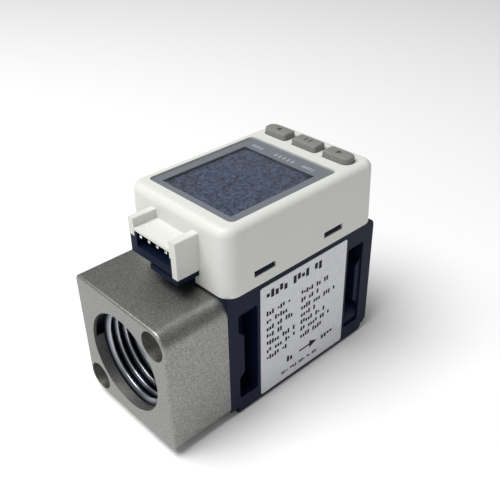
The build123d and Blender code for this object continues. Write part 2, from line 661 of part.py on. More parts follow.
def make_display_housing():
    outer = loft([housing_outline(0, BODY_TOP), housing_outline(0, HOUSING_TOP)])
    outer = fillet(outer.faces().sort_by(Axis.Z)[-1].edges(), HOUSING_TOP_EDGE)
    inner = loft([housing_outline(HOUSING_WALL, BODY_TOP), housing_outline(HOUSING_WALL, ROOF_UNDER)])
    notch_width = 2 * HOOD_HALF_WIDTH - EAR_THICKNESS
    notch_height = HOOD_ROOF_UNDER - BODY_TOP
    notch_outline = Pos(EAR_THICKNESS / 2, BODY_TOP + notch_height / 2) * Rectangle(notch_width, notch_height)
    notch = across(HOUSING_START - OVERCUT, notch_outline, HOUSING_WALL + 2 * OVERCUT)
    housing = outer - inner - notch + (make_hood() - inner)

    housing -= slab(WINDOW_LENGTH, WINDOW_WIDTH, WINDOW_UNDER, HOUSING_TOP + OVERCUT,
                    WINDOW_MIDDLE, 0, WINDOW_CORNER)
    housing -= slab(VIEW_LENGTH, VIEW_WIDTH, ROOF_UNDER - OVERCUT, HOUSING_TOP, WINDOW_MIDDLE)
    for name, y in key_centres().items():
        opening = Pos(KEY_X, y, ROOF_UNDER - OVERCUT) * key_outline(name, KEY_GAP)
        housing -= extrude(opening, HOUSING_ROOF + 2 * OVERCUT)
    for x in SLOT_CENTRES:
        slot = Pos(x, 0, SLOT_LOW) * Rectangle(SLOT_LENGTH, HOUSING_WIDTH + 2 * OVERCUT)
        housing -= extrude(slot, SLOT_HEIGHT)
    rest_start = HOUSING_START + HOUSING_WALL
    rest_end = BOARD_START + REST_OVERLAP
    rest_middle = (rest_start + rest_end) / 2
    for y in (-POST_Y, POST_Y):
        housing += slab(rest_end - rest_start, REST_WIDTH, BOARD_TOP, ROOF_UNDER, rest_middle, y)
        housing += upright(POST_RADIUS, BOARD_TOP, ROOF_UNDER, POST_X, y)
        housing -= upright(BOARD_SCREW_RADIUS, BOARD_TOP - OVERCUT, BOARD_TOP + BOARD_SCREW_BITE, POST_X, y)
    return housing


# Window, panel and backlight
def make_display_window():
    return slab(WINDOW_LENGTH - 2 * WINDOW_GAP, WINDOW_WIDTH - 2 * WINDOW_GAP, WINDOW_UNDER, WINDOW_TOP,
                WINDOW_MIDDLE, 0, WINDOW_CORNER - WINDOW_GAP)


def make_lcd_panel():
    return slab(VIEW_LENGTH - 2 * PANEL_MARGIN, VIEW_WIDTH - 2 * PANEL_MARGIN, PANEL_UNDER, PANEL_TOP,
                WINDOW_MIDDLE)


def make_lcd_backlight():
    """Light guide with four legs that stand on the main board."""
    length = VIEW_LENGTH - 2 * PANEL_MARGIN
    width = VIEW_WIDTH - 2 * PANEL_MARGIN
    guide = slab(length, width - 2 * CONTACT_WIDTH, BACKLIGHT_UNDER, PANEL_UNDER, WINDOW_MIDDLE)
    leg_x = (length - BACKLIGHT_LEG) / 2
    leg_y = (width - BACKLIGHT_LEG) / 2 - CONTACT_WIDTH
    for x in (-leg_x, leg_x):
        for y in (-leg_y, leg_y):
            guide += slab(BACKLIGHT_LEG, BACKLIGHT_LEG, BOARD_TOP, BACKLIGHT_UNDER, WINDOW_MIDDLE + x, y)
    return guide


def make_lcd_contacts():
    """Two rubber strips that join the panel's edge tracks to the main board."""
    length = VIEW_LENGTH - 2 * PANEL_MARGIN
    width = CONTACT_WIDTH - 2 * SEAT_CLEARANCE
    y = (VIEW_WIDTH - 2 * PANEL_MARGIN - CONTACT_WIDTH) / 2
    return [slab(length, width, BOARD_TOP, PANEL_UNDER, WINDOW_MIDDLE, way * y) for way in (-1, 1)]


# Keys and their switches
def make_key(name, y):
    cap_height = HOUSING_TOP + KEY_STANDS - KEY_FLANGE_TOP
    cap = extrude(Pos(KEY_X, y, KEY_FLANGE_TOP) * key_outline(name, 0), cap_height)
    cap = fillet(cap.faces().sort_by(Axis.Z)[-1].edges(), KEY_EDGE)
    flange_low = KEY_FLANGE_TOP - KEY_FLANGE_THICKNESS
    flange = extrude(Pos(KEY_X, y, flange_low) * key_outline(name, KEY_FLANGE), KEY_FLANGE_THICKNESS)
    return cap + flange + upright(KEY_STEM_RADIUS, PLUNGER_TOP, flange_low, KEY_X, y)


def make_switch_base(y):
    base = slab(SWITCH_SIDE, SWITCH_SIDE, BOARD_TOP, SWITCH_TOP, KEY_X, y)
    hole_floor = SWITCH_TOP - PLUNGER_SUNK - KEY_TRAVEL - PLUNGER_GAP
    return base - upright(PLUNGER_RADIUS + PLUNGER_GAP, hole_floor, SWITCH_TOP + OVERCUT, KEY_X, y)


def make_switch_plunger(y):
    return upright(PLUNGER_RADIUS, SWITCH_TOP - PLUNGER_SUNK, PLUNGER_TOP, KEY_X, y)


# Main board and its screws
def make_main_board():
    length = BOARD_END - BOARD_START
    board = slab(length, 2 * BOARD_HALF_WIDTH, BOARD_UNDER, BOARD_TOP, (BOARD_START + BOARD_END) / 2)
    for y in (-POST_Y, POST_Y):
        board -= upright(BOARD_SCREW_RADIUS + SHANK_CLEARANCE, BOARD_UNDER, BOARD_TOP, POST_X, y)
    return board


def make_board_screws():
    screws = []
    for y in (-POST_Y, POST_Y):
        head = upright(BOARD_SCREW_HEAD_RADIUS, BOARD_UNDER - BOARD_SCREW_HEAD_HEIGHT, BOARD_UNDER, POST_X, y)
        shank = upright(BOARD_SCREW_RADIUS - THREAD_CLEARANCE, BOARD_UNDER, BOARD_TOP + BOARD_SCREW_BITE,
                        POST_X, y)
        screws.append(head + shank)
    return screws


# Connector header and pins
def pin_places():
    return [(number - (PIN_COUNT - 1) / 2) * PIN_PITCH for number in range(PIN_COUNT)]


def make_connector_header():
    """Dark tray under the hood: floor, side walls, solid back with the pins, and a tongue below."""
    right = HEADER_RIGHT + HEADER_GAP
    left = HOOD_HALF_WIDTH - HEADER_GAP
    top = HOOD_ROOF_UNDER - HEADER_GAP
    width = left - right
    middle = (left + right) / 2
    front = HOOD_FRONT + HEADER_GAP
    tray_high = EAR_STEP_Z - HEADER_GAP
    header = across(front, Pos(middle, (HEADER_UNDER + tray_high) / 2)
                    * Rectangle(width, tray_high - HEADER_UNDER), HEADER_END - front)
    inner_left = HOOD_HALF_WIDTH - EAR_THICKNESS - HEADER_GAP
    inner_right = right + EAR_STEP
    header += across(front, Pos((inner_left + inner_right) / 2, (HEADER_UNDER + top) / 2)
                     * Rectangle(inner_left - inner_right, top - HEADER_UNDER), HEADER_END - front)
    apron_start = HOUSING_START + HEADER_GAP
    header += across(apron_start, Pos(middle, (BODY_TOP + HEADER_UNDER) / 2)
                     * Rectangle(width, HEADER_UNDER - BODY_TOP), HOUSING_WALL)
    tongue_z = HEADER_UNDER - TONGUE_GAP - TONGUE_THICKNESS / 2
    tongue_end = HOUSING_START - HEADER_GAP
    tongue = across(front, Pos((TONGUE_LEFT - TONGUE_RIGHT) / 2, tongue_z)
                    * Rectangle(TONGUE_LEFT + TONGUE_RIGHT, TONGUE_THICKNESS), tongue_end - front)
    neck = across(front + TONGUE_THICKNESS, Pos((TONGUE_LEFT + right) / 2, HEADER_UNDER - TONGUE_GAP)
                  * Rectangle(TONGUE_LEFT - right, 2 * TONGUE_GAP), apron_start - front - TONGUE_THICKNESS)
    header += neck
    header += tongue
    socket_floor = HEADER_UNDER + HEADER_FLOOR
    socket_left = inner_left - HEADER_SIDE_WALL
    socket_right = right + HEADER_SIDE_WALL
    socket = Rectangle(socket_left - socket_right, HOOD_ROOF_TOP - socket_floor)
    socket_place = Pos((socket_left + socket_right) / 2, (socket_floor + HOOD_ROOF_TOP) / 2)
    header -= across(front - OVERCUT, socket_place * socket, SOCKET_DEPTH + OVERCUT)
    hole = PIN_SIDE + 2 * SEAT_CLEARANCE
    for y in pin_places():
        header -= across(front, Pos(y, PIN_Z) * Rectangle(hole, hole), HEADER_END - front + OVERCUT)
    return header


def make_connector_pin(y):
    start = HOOD_FRONT + PIN_SUNK
    pin = across(start, Pos(y, PIN_Z) * Rectangle(PIN_SIDE, PIN_SIDE), BOARD_START + PIN_TAIL - start)
    return chamfer(pin.faces().sort_by(Axis.X)[0].edges(), PIN_SIDE / 5)


# Rating label
def make_rating_label():
    start = POCKET_STARTS[0] + POCKET_WIDTH + LABEL_SIDE_GAP
    end = POCKET_STARTS[1] - LABEL_SIDE_GAP
    high = BODY_TOP - LABEL_TOP_GAP
    low = BELLY_FOOT + LABEL_FOOT_GAP
    plane = Plane(((start + end) / 2, -HALF_SIDE, (high + low) / 2), x_dir=(1, 0, 0), z_dir=(0, -1, 0))
    return extrude(plane * RectangleRounded(end - start, high - low, LABEL_CORNER), LABEL_THICKNESS)


nodes = {
    "inlet_block": make_inlet_block(),
    "inlet_screws": make_inlet_screws(),
    "inlet_screw_inserts": make_inlet_inserts(),
    "inlet_seal": make_seal(BODY_START, BODY_START + SEAL_THICKNESS),
    "inlet_screen": make_screen(BODY_START),
    "flow_straightener": make_flow_straightener(),
    "flow_body": make_flow_body(),
    "flow_restrictor": make_flow_restrictor(),
    "outlet_screen": make_screen(BODY_END - RING_LENGTH - SCREEN_THICKNESS),
    "outlet_ring": make_outlet_ring(),
    "outlet_seal": make_seal(BODY_END - SEAL_THICKNESS, BODY_END),
    "outlet_screw_inserts": make_outlet_inserts(),
    "rating_label": make_rating_label(),
    "sensor_gasket": make_sensor_gasket(),
    "sensor_carrier": make_sensor_carrier(),
    "sensor_chip": make_sensor_chip(),
    "sensor_board": make_sensor_board(),
    "sensor_screws": make_sensor_screws(),
    "link_header": make_link_header(),
    "link_pins": make_link_pins(),
    "main_board": make_main_board(),
    "board_screws": make_board_screws(),
    "connector_header": make_connector_header(),
    "display_housing": make_display_housing(),
    "display_window": make_display_window(),
    "lcd_panel": make_lcd_panel(),
    "lcd_backlight": make_lcd_backlight(),
    "lcd_contacts": make_lcd_contacts(),
}
for number, place in enumerate(pin_places(), start=1):
    nodes[f"connector_pin_{number}"] = make_connector_pin(place)
for name, place in key_centres().items():
    nodes[f"key_{name}"] = make_key(name, place)
    nodes[f"switch_base_{name}"] = make_switch_base(place)
    nodes[f"switch_plunger_{name}"] = make_switch_plunger(place)

os.makedirs("parts", exist_ok=True)
for node, shape in nodes.items():
    if isinstance(shape, list):
        shape = Compound(children=shape)
    export_step(shape, f"parts/{node}.step")
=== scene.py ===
# %% [markdown]
# A flow switch: a bead-blasted aluminium port block, a dark moulded flow body and a white
# display unit with a window, three keys and a pin connector. The solids come from the packed
# frame, and this script gives them their surfaces and the details that are too fine for them.
# Sizes are written in millimetres, and MM turns them into Blender's metres.

# %% Load the frame
import math
import random

import bmesh
import bpy
from mathutils import Matrix, Vector


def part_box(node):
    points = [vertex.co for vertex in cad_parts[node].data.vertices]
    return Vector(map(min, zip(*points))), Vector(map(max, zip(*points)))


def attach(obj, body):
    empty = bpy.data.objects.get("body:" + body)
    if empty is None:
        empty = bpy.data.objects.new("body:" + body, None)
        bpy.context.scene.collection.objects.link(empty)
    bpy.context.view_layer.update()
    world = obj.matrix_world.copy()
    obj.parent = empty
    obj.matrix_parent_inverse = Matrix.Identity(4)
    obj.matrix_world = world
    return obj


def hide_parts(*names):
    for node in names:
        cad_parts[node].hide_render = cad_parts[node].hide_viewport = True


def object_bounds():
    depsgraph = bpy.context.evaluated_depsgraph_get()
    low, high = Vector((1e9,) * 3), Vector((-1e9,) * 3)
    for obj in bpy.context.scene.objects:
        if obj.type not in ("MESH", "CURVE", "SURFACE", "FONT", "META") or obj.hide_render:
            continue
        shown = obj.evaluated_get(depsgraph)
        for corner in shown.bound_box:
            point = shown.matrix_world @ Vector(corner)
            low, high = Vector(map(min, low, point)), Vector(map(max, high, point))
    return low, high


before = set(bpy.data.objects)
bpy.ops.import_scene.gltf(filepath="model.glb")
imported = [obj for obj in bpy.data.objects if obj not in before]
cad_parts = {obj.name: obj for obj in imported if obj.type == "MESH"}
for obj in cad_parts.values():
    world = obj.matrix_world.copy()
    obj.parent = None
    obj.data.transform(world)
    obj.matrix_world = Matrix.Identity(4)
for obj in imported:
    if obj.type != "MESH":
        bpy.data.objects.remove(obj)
cad_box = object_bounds()
MM = 0.001

# %% [markdown]
# Colours are picked as sRGB hex values, as in any paint program, but shaders work in
# linear light, so one function turns the first into the second. A second function adds a node
# and fills its inputs. An input may be a plain value, one output socket, or a whole node, which
# stands for its first output, so a chain of nodes reads in the order in which it works.

# %% Colours and the node helper


def colour(code):
    """Linear RGBA of an sRGB hex code."""
    parts = [int(code[i:i + 2], 16) / 255 for i in (1, 3, 5)]
    linear = [p / 12.92 if p <= 0.04045 else ((p + 0.055) / 1.055) ** 2.4 for p in parts]
    return (*linear, 1.0)


def add_node(tree, kind, inputs=None, **settings):
    """Add a node with its settings, and fill or link its inputs."""
    made = tree.nodes.new(kind)
    for name, value in settings.items():
        setattr(made, name, value)
    for name, value in (inputs or {}).items():
        socket = made.inputs[name]
        if isinstance(value, bpy.types.Node):
            value = value.outputs[0]
        if isinstance(value, bpy.types.NodeSocket):
            tree.links.new(value, socket)
        else:
            socket.default_value = value
    return made


print("white in linear light:", colour("#FFFFFF"))

# %% [markdown]
# No real surface has one flat colour or is perfectly smooth. So each material below starts as
# one Principled shader, and a noise on the object's own coordinates then drives two things
# together: a blend between two close shades, and a bump whose depth is a real length. Image
# textures could do the same, but noise has no seams and needs no unwrapping.

# %% Helpers for materials


def new_material(name, **sockets):
    """A material with one Principled shader. Each keyword is the name of one of its sockets."""
    material = bpy.data.materials.new(name)
    material.use_nodes = True
    shader = material.node_tree.nodes["Principled BSDF"]
    for socket, value in sockets.items():
        shader.inputs[socket.replace("_", " ")].default_value = value
    return material, material.node_tree, shader


def two_tone(tree, shader, pattern, dark, light, low=0.35, high=0.65):
    """Blend the base colour from dark to light while a pattern goes from low to high."""
    spread = add_node(tree, "ShaderNodeMapRange", {"Value": pattern, "From Min": low, "From Max": high})
    blend = add_node(tree, "ShaderNodeMix", {0: spread, 6: colour(dark), 7: colour(light)}, data_type="RGBA")
    tree.links.new(blend.outputs[2], shader.inputs["Base Color"])
    return blend.outputs[2]


def grain(tree, shader, size, depth, detail=2.0, roughness=0.5):
    """Bumps of one size and depth, in millimetres. Returns their pattern, for a colour."""
    place = add_node(tree, "ShaderNodeTexCoord")
    spots = add_node(tree, "ShaderNodeTexNoise", {
        "Vector": place.outputs["Object"], "Scale": 1 / (size * MM), "Detail": detail, "Roughness": roughness,
    })
    bump = add_node(tree, "ShaderNodeBump", {"Height": spots, "Distance": depth * MM})
    tree.links.new(bump.outputs["Normal"], shader.inputs["Normal"])
    return spots


print("materials so far:", len(bpy.data.materials))

# %% [markdown]
# The port block is machined, then bead-blasted and clear anodised. The beads leave shallow
# round dents, so the metal has no clear reflections, only a soft sheen, and a fine sparkle where
# single dents catch the light. The small metal parts are plated, turned or drawn, and differ in
# how sharp their reflections are. All of them keep the default IOR, as metals do.

# %% Metals


def metal(name, dark, light, roughness, size, depth):
    """A metal whose shade and surface vary together, with fine bumps inside the coarse ones."""
    material, tree, shader = new_material(name, Metallic=1.0, Roughness=roughness)
    spots = grain(tree, shader, size, depth, detail=3.0, roughness=0.6)
    two_tone(tree, shader, spots, dark, light)
    return material


metals = {
    # Real dents are about 0.1 mm across. They are drawn three times as wide so that they show.
    "blasted": metal("bead_blasted_aluminium", "#7C7C7A", "#A2A29F", roughness=0.46, size=0.3, depth=0.03),
    # Zinc plate is pale and smooth, so the screw heads keep bright, slightly blurred glints.
    "zinc": metal("zinc_plated_steel", "#B9BABC", "#E2E2E0", roughness=0.22, size=0.5, depth=0.01),
    # Turned brass is warm and shiny, with small uneven marks of the cutting tool.
    "brass": metal("turned_brass", "#B2914B", "#D0B36C", roughness=0.28, size=0.3, depth=0.008),
    # Tin on the pins is the whitest and smoothest metal here, so their ends show as bright dots.
    "tin": metal("tinned_bronze", "#DDDCD8", "#F4F3EF", roughness=0.2, size=0.2, depth=0.004),
    # Drawn wire is grey and bright along its length, and shows as a fine mesh of glints.
    "wire": metal("stainless_wire", "#9A9A9C", "#C4C4C6", roughness=0.25, size=0.15, depth=0.003),
}
print("metals:", ", ".join(m.name for m in metals.values()))

# %% [markdown]
# The housings are injection moulded. The mould is spark-eroded, which prints a very fine, even
# grain on the plastic: it softens highlights but leaves no direction. The grain is a few
# hundredths of a millimetre wide, and it is drawn at 0.22 mm so that it shows at all.

# %% Plastics, rubber and boards
TRACK_CELL = 4.0
TRACK_WIDTH = 0.06
TRACK_HEIGHT = 0.01


def moulded(name, dark, light, roughness, size=0.22, depth=0.006, gloss=0.5):
    """A moulded plastic or rubber with the grain of its mould. Gloss is its share of shine."""
    material, tree, shader = new_material(name, Roughness=roughness, IOR=1.5, Specular_IOR_Level=gloss)
    skin = grain(tree, shader, size, depth)
    two_tone(tree, shader, skin, dark, light)
    return material


def solder_resist():
    """Green lacquer over copper tracks: the tracks show as paler, slightly raised stripes."""
    material, tree, shader = new_material("solder_resist", Roughness=0.3, IOR=1.5)
    place = add_node(tree, "ShaderNodeTexCoord")
    tracks = add_node(tree, "ShaderNodeTexBrick", {
        "Vector": place.outputs["Object"], "Scale": 1 / (TRACK_CELL * MM), "Mortar Size": TRACK_WIDTH,
        "Color1": colour("#15603A"), "Color2": colour("#1A6B42"), "Mortar": colour("#2F8A58"),
    })
    tree.links.new(tracks.outputs["Color"], shader.inputs["Base Color"])
    bump = add_node(tree, "ShaderNodeBump", {"Height": tracks.outputs["Fac"], "Distance": TRACK_HEIGHT * MM})
    tree.links.new(bump.outputs["Normal"], shader.inputs["Normal"])
    return material


plastics = {
    # Polyester for the cover: a warm, even white with a soft, wide highlight on its round edges.
    "white": moulded("white_pbt", "#D2D3CD", "#DADBD6", roughness=0.45),
    # Filled plastic for the body: so dark a blue that only its edges and dull sheen show it.
    "navy": moulded("navy_pps", "#091228", "#0F1A33", roughness=0.5, gloss=0.12),
    # The same polyester with no pigment, for the inner parts: a dull cream.
    "natural": moulded("natural_pbt", "#CFCBBD", "#DAD7CA", roughness=0.5),
    # Black nylon for the switches and the link: dark with a satin sheen.
    "black": moulded("black_nylon", "#141415", "#1D1D1F", roughness=0.5),
    # Rubber for the seals: black, and duller than any plastic.
    "seal": moulded("nitrile_rubber", "#121212", "#1A1A1A", roughness=0.6),
    # Strips of carbon and clear rubber in fine layers, which the eye blends to a blue grey.
    "contact": moulded("layered_contact_rubber", "#5E7390", "#7389A6", roughness=0.6, size=0.1),
    # The light guide behind the panel: a milky sheet, smoother than the moulded covers.
    "guide": moulded("milky_acrylic", "#DDE2E6", "#EBEFF2", roughness=0.25),
    # Both boards have the usual green lacquer.
    "board": solder_resist(),
    # The chip's package: black epoxy with a dull, ground top.
    "epoxy": moulded("chip_epoxy", "#0E0E0F", "#161617", roughness=0.55),
}
print("plastics:", ", ".join(m.name for m in plastics.values()))

# %% [markdown]
# The keys are grey silicone, dull and slightly mottled, with a dark mark printed on each: a
# triangle on the up and down keys, and a pair of short bars on the middle one. A plate on top
# would stand above the key, and a printed mark has no thickness, so the marks are masks. Each
# mask is a product of tests on the distance from the key's middle, and it is 1 where all hold.

# %% Keys
KEY_SHADES = ("#787975", "#83847F")
KEY_MARK_HEX = "#3B3D3B"
MARK_HALF = 0.62
BAR_HALF = 0.217
TRIANGLE_SLOPE = 0.6
PRINT_REACH = 0.1


def printed_key(name):
    """Silicone with the mark of one key."""
    material, tree, shader = new_material(f"grey_silicone_{name}", Roughness=0.6, IOR=1.42)
    skin = grain(tree, shader, size=0.3, depth=0.01)
    rubber = two_tone(tree, shader, skin, *KEY_SHADES)
    low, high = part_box(f"key_{name}")
    middle = (low + high) / 2
    half = MARK_HALF * MM
    place = add_node(tree, "ShaderNodeTexCoord").outputs["Object"]
    offset = add_node(tree, "ShaderNodeVectorMath", {0: place, 1: middle}, operation="SUBTRACT")
    x, y, z = add_node(tree, "ShaderNodeSeparateXYZ", {0: offset}).outputs
    tests = [("GREATER_THAN", z, high.z - middle.z - PRINT_REACH * MM)]
    if name == "set":
        away = add_node(tree, "ShaderNodeMath", {0: y}, operation="ABSOLUTE")
        tests += [("COMPARE", away, half, BAR_HALF * MM), ("COMPARE", x, 0.0, half)]
    else:
        slope = -TRIANGLE_SLOPE if name == "up" else TRIANGLE_SLOPE
        line = {0: y, 1: slope, 2: TRIANGLE_SLOPE * half}
        room = add_node(tree, "ShaderNodeMath", line, operation="MULTIPLY_ADD")
        away = add_node(tree, "ShaderNodeMath", {0: x}, operation="ABSOLUTE")
        tests += [("LESS_THAN", away, room), ("COMPARE", y, 0.0, half)]
    mark = 1.0
    for operation, *values in tests:
        test = add_node(tree, "ShaderNodeMath", dict(enumerate(values)), operation=operation)
        mark = add_node(tree, "ShaderNodeMath", {0: test, 1: mark}, operation="MULTIPLY")
    printed = add_node(tree, "ShaderNodeMix", {0: mark, 6: rubber, 7: colour(KEY_MARK_HEX)}, data_type="RGBA")
    tree.links.new(printed.outputs[2], shader.inputs["Base Color"])
    return material


key_materials = {name: printed_key(name) for name in ("up", "set", "down")}
print("key materials:", ", ".join(m.name for m in key_materials.values()))

# %% [markdown]
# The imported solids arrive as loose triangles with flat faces, which would show as facets on
# every round edge. A merged copy with smooth faces, and sharp edges only where two faces really
# meet at an angle, shades like the moulded part. The pins and the parts that are hidden inside
# keep their own mesh and only get their material.

# %% Dress the CAD nodes
SHARP = math.radians(28)
MERGE = 0.002
DEGENERATE = 0.0005


def add_piece(name, mesh, body="switch", stands_for=None):
    """Put a mesh in the scene as a piece that rides on a body."""
    piece = bpy.data.objects.new(name, mesh)
    bpy.context.scene.collection.objects.link(piece)
    if stands_for:
        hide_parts(stands_for)
    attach(piece, body)
    return piece


def dress(name, material, body="switch"):
    """A merged, smooth copy of a CAD node that stands for it."""
    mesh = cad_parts[name].data.copy()
    mesh.name = f"{name}_skin"
    shell = bmesh.new()
    shell.from_mesh(mesh)
    bmesh.ops.remove_doubles(shell, verts=shell.verts, dist=MERGE * MM)
    bmesh.ops.dissolve_degenerate(shell, dist=DEGENERATE * MM, edges=shell.edges)
    for face in shell.faces:
        face.smooth = True
    for edge in shell.edges:
        edge.smooth = not edge.is_manifold or edge.calc_face_angle(0) < SHARP
    shell.to_mesh(mesh)
    shell.free()
    mesh.materials.clear()
    mesh.materials.append(material)
    return add_piece(f"{name}_skin", mesh, body, stands_for=name)


def repaint(name, material):
    """Give a CAD node that stays as it is its own material."""
    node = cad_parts[name]
    node.data.materials.clear()
    node.data.materials.append(material)


dress("inlet_block", metals["blasted"])
dress("flow_body", plastics["navy"])
dress("display_housing", plastics["white"])
dress("connector_header", plastics["navy"])
dress("inlet_screws", metals["zinc"])
for key_name, material in key_materials.items():
    dress(f"key_{key_name}", material, body=f"key_{key_name}")
    repaint(f"switch_base_{key_name}", plastics["black"])
    repaint(f"switch_plunger_{key_name}", plastics["black"])
for number in range(1, 5):
    repaint(f"connector_pin_{number}", metals["tin"])

# %% Paint the parts that are hidden inside
hidden_parts = {
    "inlet_screw_inserts": metals["brass"],
    "outlet_screw_inserts": metals["brass"],
    "inlet_seal": plastics["seal"],
    "outlet_seal": plastics["seal"],
    "sensor_gasket": plastics["seal"],
    "flow_straightener": plastics["natural"],
    "flow_restrictor": plastics["natural"],
    "outlet_ring": plastics["navy"],
    "sensor_carrier": plastics["natural"],
    "sensor_chip": plastics["epoxy"],
    "sensor_board": plastics["board"],
    "main_board": plastics["board"],
    "sensor_screws": metals["zinc"],
    "board_screws": metals["zinc"],
    "link_header": plastics["black"],
    "link_pins": metals["tin"],
    "lcd_backlight": plastics["guide"],
    "lcd_contacts": plastics["contact"],
}
for name, material in hidden_parts.items():
    repaint(name, material)
print("painted:", len(hidden_parts), "hidden parts")

# %% [markdown]
# The cover snaps over four hooks on the body's rim. Seen through the slots in its long walls,
# each hook is a dark wedge that fills the slot nearly to the outer face. Each is one short
# prism: an outline seen along the wall, repeated at both ends and closed all round. The same
# function makes the printed marks further down, which are prisms too, only very thin ones.

# %% Snap hooks in the slots
HOOK_MIDDLES = (23.825, 43.075)
HOOK_HALF = 2.6
HOOK_PROFILE = ((13.12, 16.95), (14.4, 16.95), (14.2, 17.6), (13.12, 17.95))


def prisms(name, ends, material):
    """Closed prisms, each between two outlines of as many points, as one piece."""
    shell = bmesh.new()
    for outlines in ends:
        first, last = [[shell.verts.new(Vector(point) * MM) for point in outline] for outline in outlines]
        shell.faces.new(first)
        shell.faces.new(last)
        for i in range(len(first)):
            j = (i + 1) % len(first)
            shell.faces.new((first[i], first[j], last[j], last[i]))
    bmesh.ops.recalc_face_normals(shell, faces=shell.faces)
    mesh = bpy.data.meshes.new(name)
    shell.to_mesh(mesh)
    shell.free()
    mesh.materials.append(material)
    print(name, len(ends), "prisms")
    return add_piece(name, mesh)


hook_ends = [
    [[(middle + end, side * y, z) for y, z in HOOK_PROFILE] for end in (-HOOK_HALF, HOOK_HALF)]
    for middle in HOOK_MIDDLES for side in (-1, 1)
]
prisms("snap_hooks", hook_ends, plastics["navy"])

# %% [markdown]
# The window is one clear acrylic sheet with a grey border printed on it. Two separate pieces
# would show a joint, so one sheet has two shaders, and a mask on the object's coordinates keeps
# its middle clear. The eye sees a polished sheet with depth: the dark panel below is really
# seen through it, and it is the panel that looks like a display which is off.

# %% Window and liquid crystal panel
VIEW_LEFT = 1.75
VIEW_SIDE = 2.15
VIEW_RIGHT = 4.3
BORDER_SPECK = 0.3
PANEL_SPECK = 0.55
window_low, window_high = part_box("display_window")


def printed_window():
    """Grey print and clear acrylic, told apart by a mask."""
    material, tree, border = new_material("printed_acrylic", Roughness=0.22, IOR=1.49)
    place = add_node(tree, "ShaderNodeTexCoord").outputs["Object"]
    tint = add_node(tree, "ShaderNodeTexNoise", {"Vector": place, "Scale": 1 / (BORDER_SPECK * MM)})
    two_tone(tree, border, tint, "#696E75", "#737880")
    clear = add_node(tree, "ShaderNodeBsdfPrincipled", {
        "Base Color": colour("#DDE2EA"), "Roughness": 0.12, "IOR": 1.49, "Transmission Weight": 1.0,
    })
    x, y, _ = add_node(tree, "ShaderNodeSeparateXYZ", {0: place}).outputs
    view = 1.0
    for axis, low, high in (
        (x, window_low.x + VIEW_LEFT * MM, window_high.x - VIEW_RIGHT * MM),
        (y, window_low.y + VIEW_SIDE * MM, window_high.y - VIEW_SIDE * MM),
    ):
        limits = {0: axis, 1: (low + high) / 2, 2: (high - low) / 2}
        within = add_node(tree, "ShaderNodeMath", limits, operation="COMPARE")
        view = add_node(tree, "ShaderNodeMath", {0: within, 1: view}, operation="MULTIPLY")
    mixed = add_node(tree, "ShaderNodeMixShader", {0: view, 1: border, 2: clear})
    tree.links.new(mixed.outputs[0], tree.nodes["Material Output"].inputs["Surface"])
    return material


def dark_panel():
    """The unlit panel: a deep blue grey, with specks from its anti-glare film.

    The film's grain is far finer than a tenth of a millimetre. It is drawn at PANEL_SPECK, as
    coarse as the specks look from the camera's distance.
    """
    material, tree, shader = new_material("liquid_crystal_panel", Roughness=0.35, IOR=1.52)
    place = add_node(tree, "ShaderNodeTexCoord")
    specks = add_node(tree, "ShaderNodeTexVoronoi", {
        "Vector": place.outputs["Object"], "Scale": 1 / (PANEL_SPECK * MM), "Randomness": 1.0,
    })
    tone = add_node(tree, "ShaderNodeSeparateColor", {0: specks.outputs["Color"]})
    two_tone(tree, shader, tone.outputs["Red"], "#1B2440", "#7E89A4", low=0.0, high=1.0)
    return material


dress("display_window", printed_window())
dress("lcd_panel", dark_panel())
print("window", [round(v / MM, 2) for v in (window_high - window_low)], "mm")

# %% [markdown]
# The label is a polyester film with a thin layer of metal behind it, so it looks white face on
# and has a faint silvery sheen at a slant. Its print is dark ink. The rows hold word-like bars,
# drawn from a fixed seed, and an arrow shows the way of the flow. An image would blur close up,
# so the ink is a set of plates a hundredth of a millimetre thick, crisp from any distance.

# %% Label film and ink
INK = 0.01
STROKE = 0.46
LETTER_STEP = 1.4
WORD_GAP = 1.6
FEET = (0.0, 0.0, 0.25)
HEADS = (0.0, 0.3)
label_low, label_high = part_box("rating_label")


def silver_film():
    """A pale film whose faint waves and trace of metal give it a silvery sheen at a slant."""
    material, tree, shader = new_material("silver_polyester_film", Metallic=0.2, Roughness=0.42, IOR=1.5)
    waves = grain(tree, shader, size=0.6, depth=0.002)
    two_tone(tree, shader, waves, "#D0D1D6", "#D8D9DE")
    return material


def bar(u, v, length, height):
    """Outline of one bar from its lower left corner."""
    return [(u, v), (u + length, v), (u + length, v + height), (u, v + height)]


def word_row(dice, u, v, room, height):
    """Letter-like strokes in words of two to five, until the room is used up.

    A stroke's width is a share of the row's height, and so is what it lacks at foot and head.
    """
    outlines = []
    end = u + room
    stroke = height * STROKE
    while u + stroke < end:
        for _ in range(dice.randint(2, 5)):
            if u + stroke > end:
                break
            low = dice.choice(FEET) * height
            outlines.append(bar(u, v + low, stroke, height - low - dice.choice(HEADS) * height))
            u += stroke * LETTER_STEP
        u += stroke * WORD_GAP
    return outlines


dress("rating_label", silver_film())
# Ink is a matt black that takes the sheen off the film.
dark_ink = moulded("label_ink", "#08080B", "#101014", roughness=0.6, gloss=0.2)
# White print on the grey border looks pale grey behind the acrylic.
pale_ink = moulded("pale_ink", "#9DA1A6", "#ABAFB4", roughness=0.5)
print("label", [round(v / MM, 2) for v in (label_high - label_low)], "mm")

# %% [markdown]
# The layout is measured from the label's upper left corner, with drops from its top and the
# rest from its left edge: one tall row, two columns of seven small rows, the arrow with a short
# mark on each side, and a small row at the foot. Each row is only as long as its room allows.

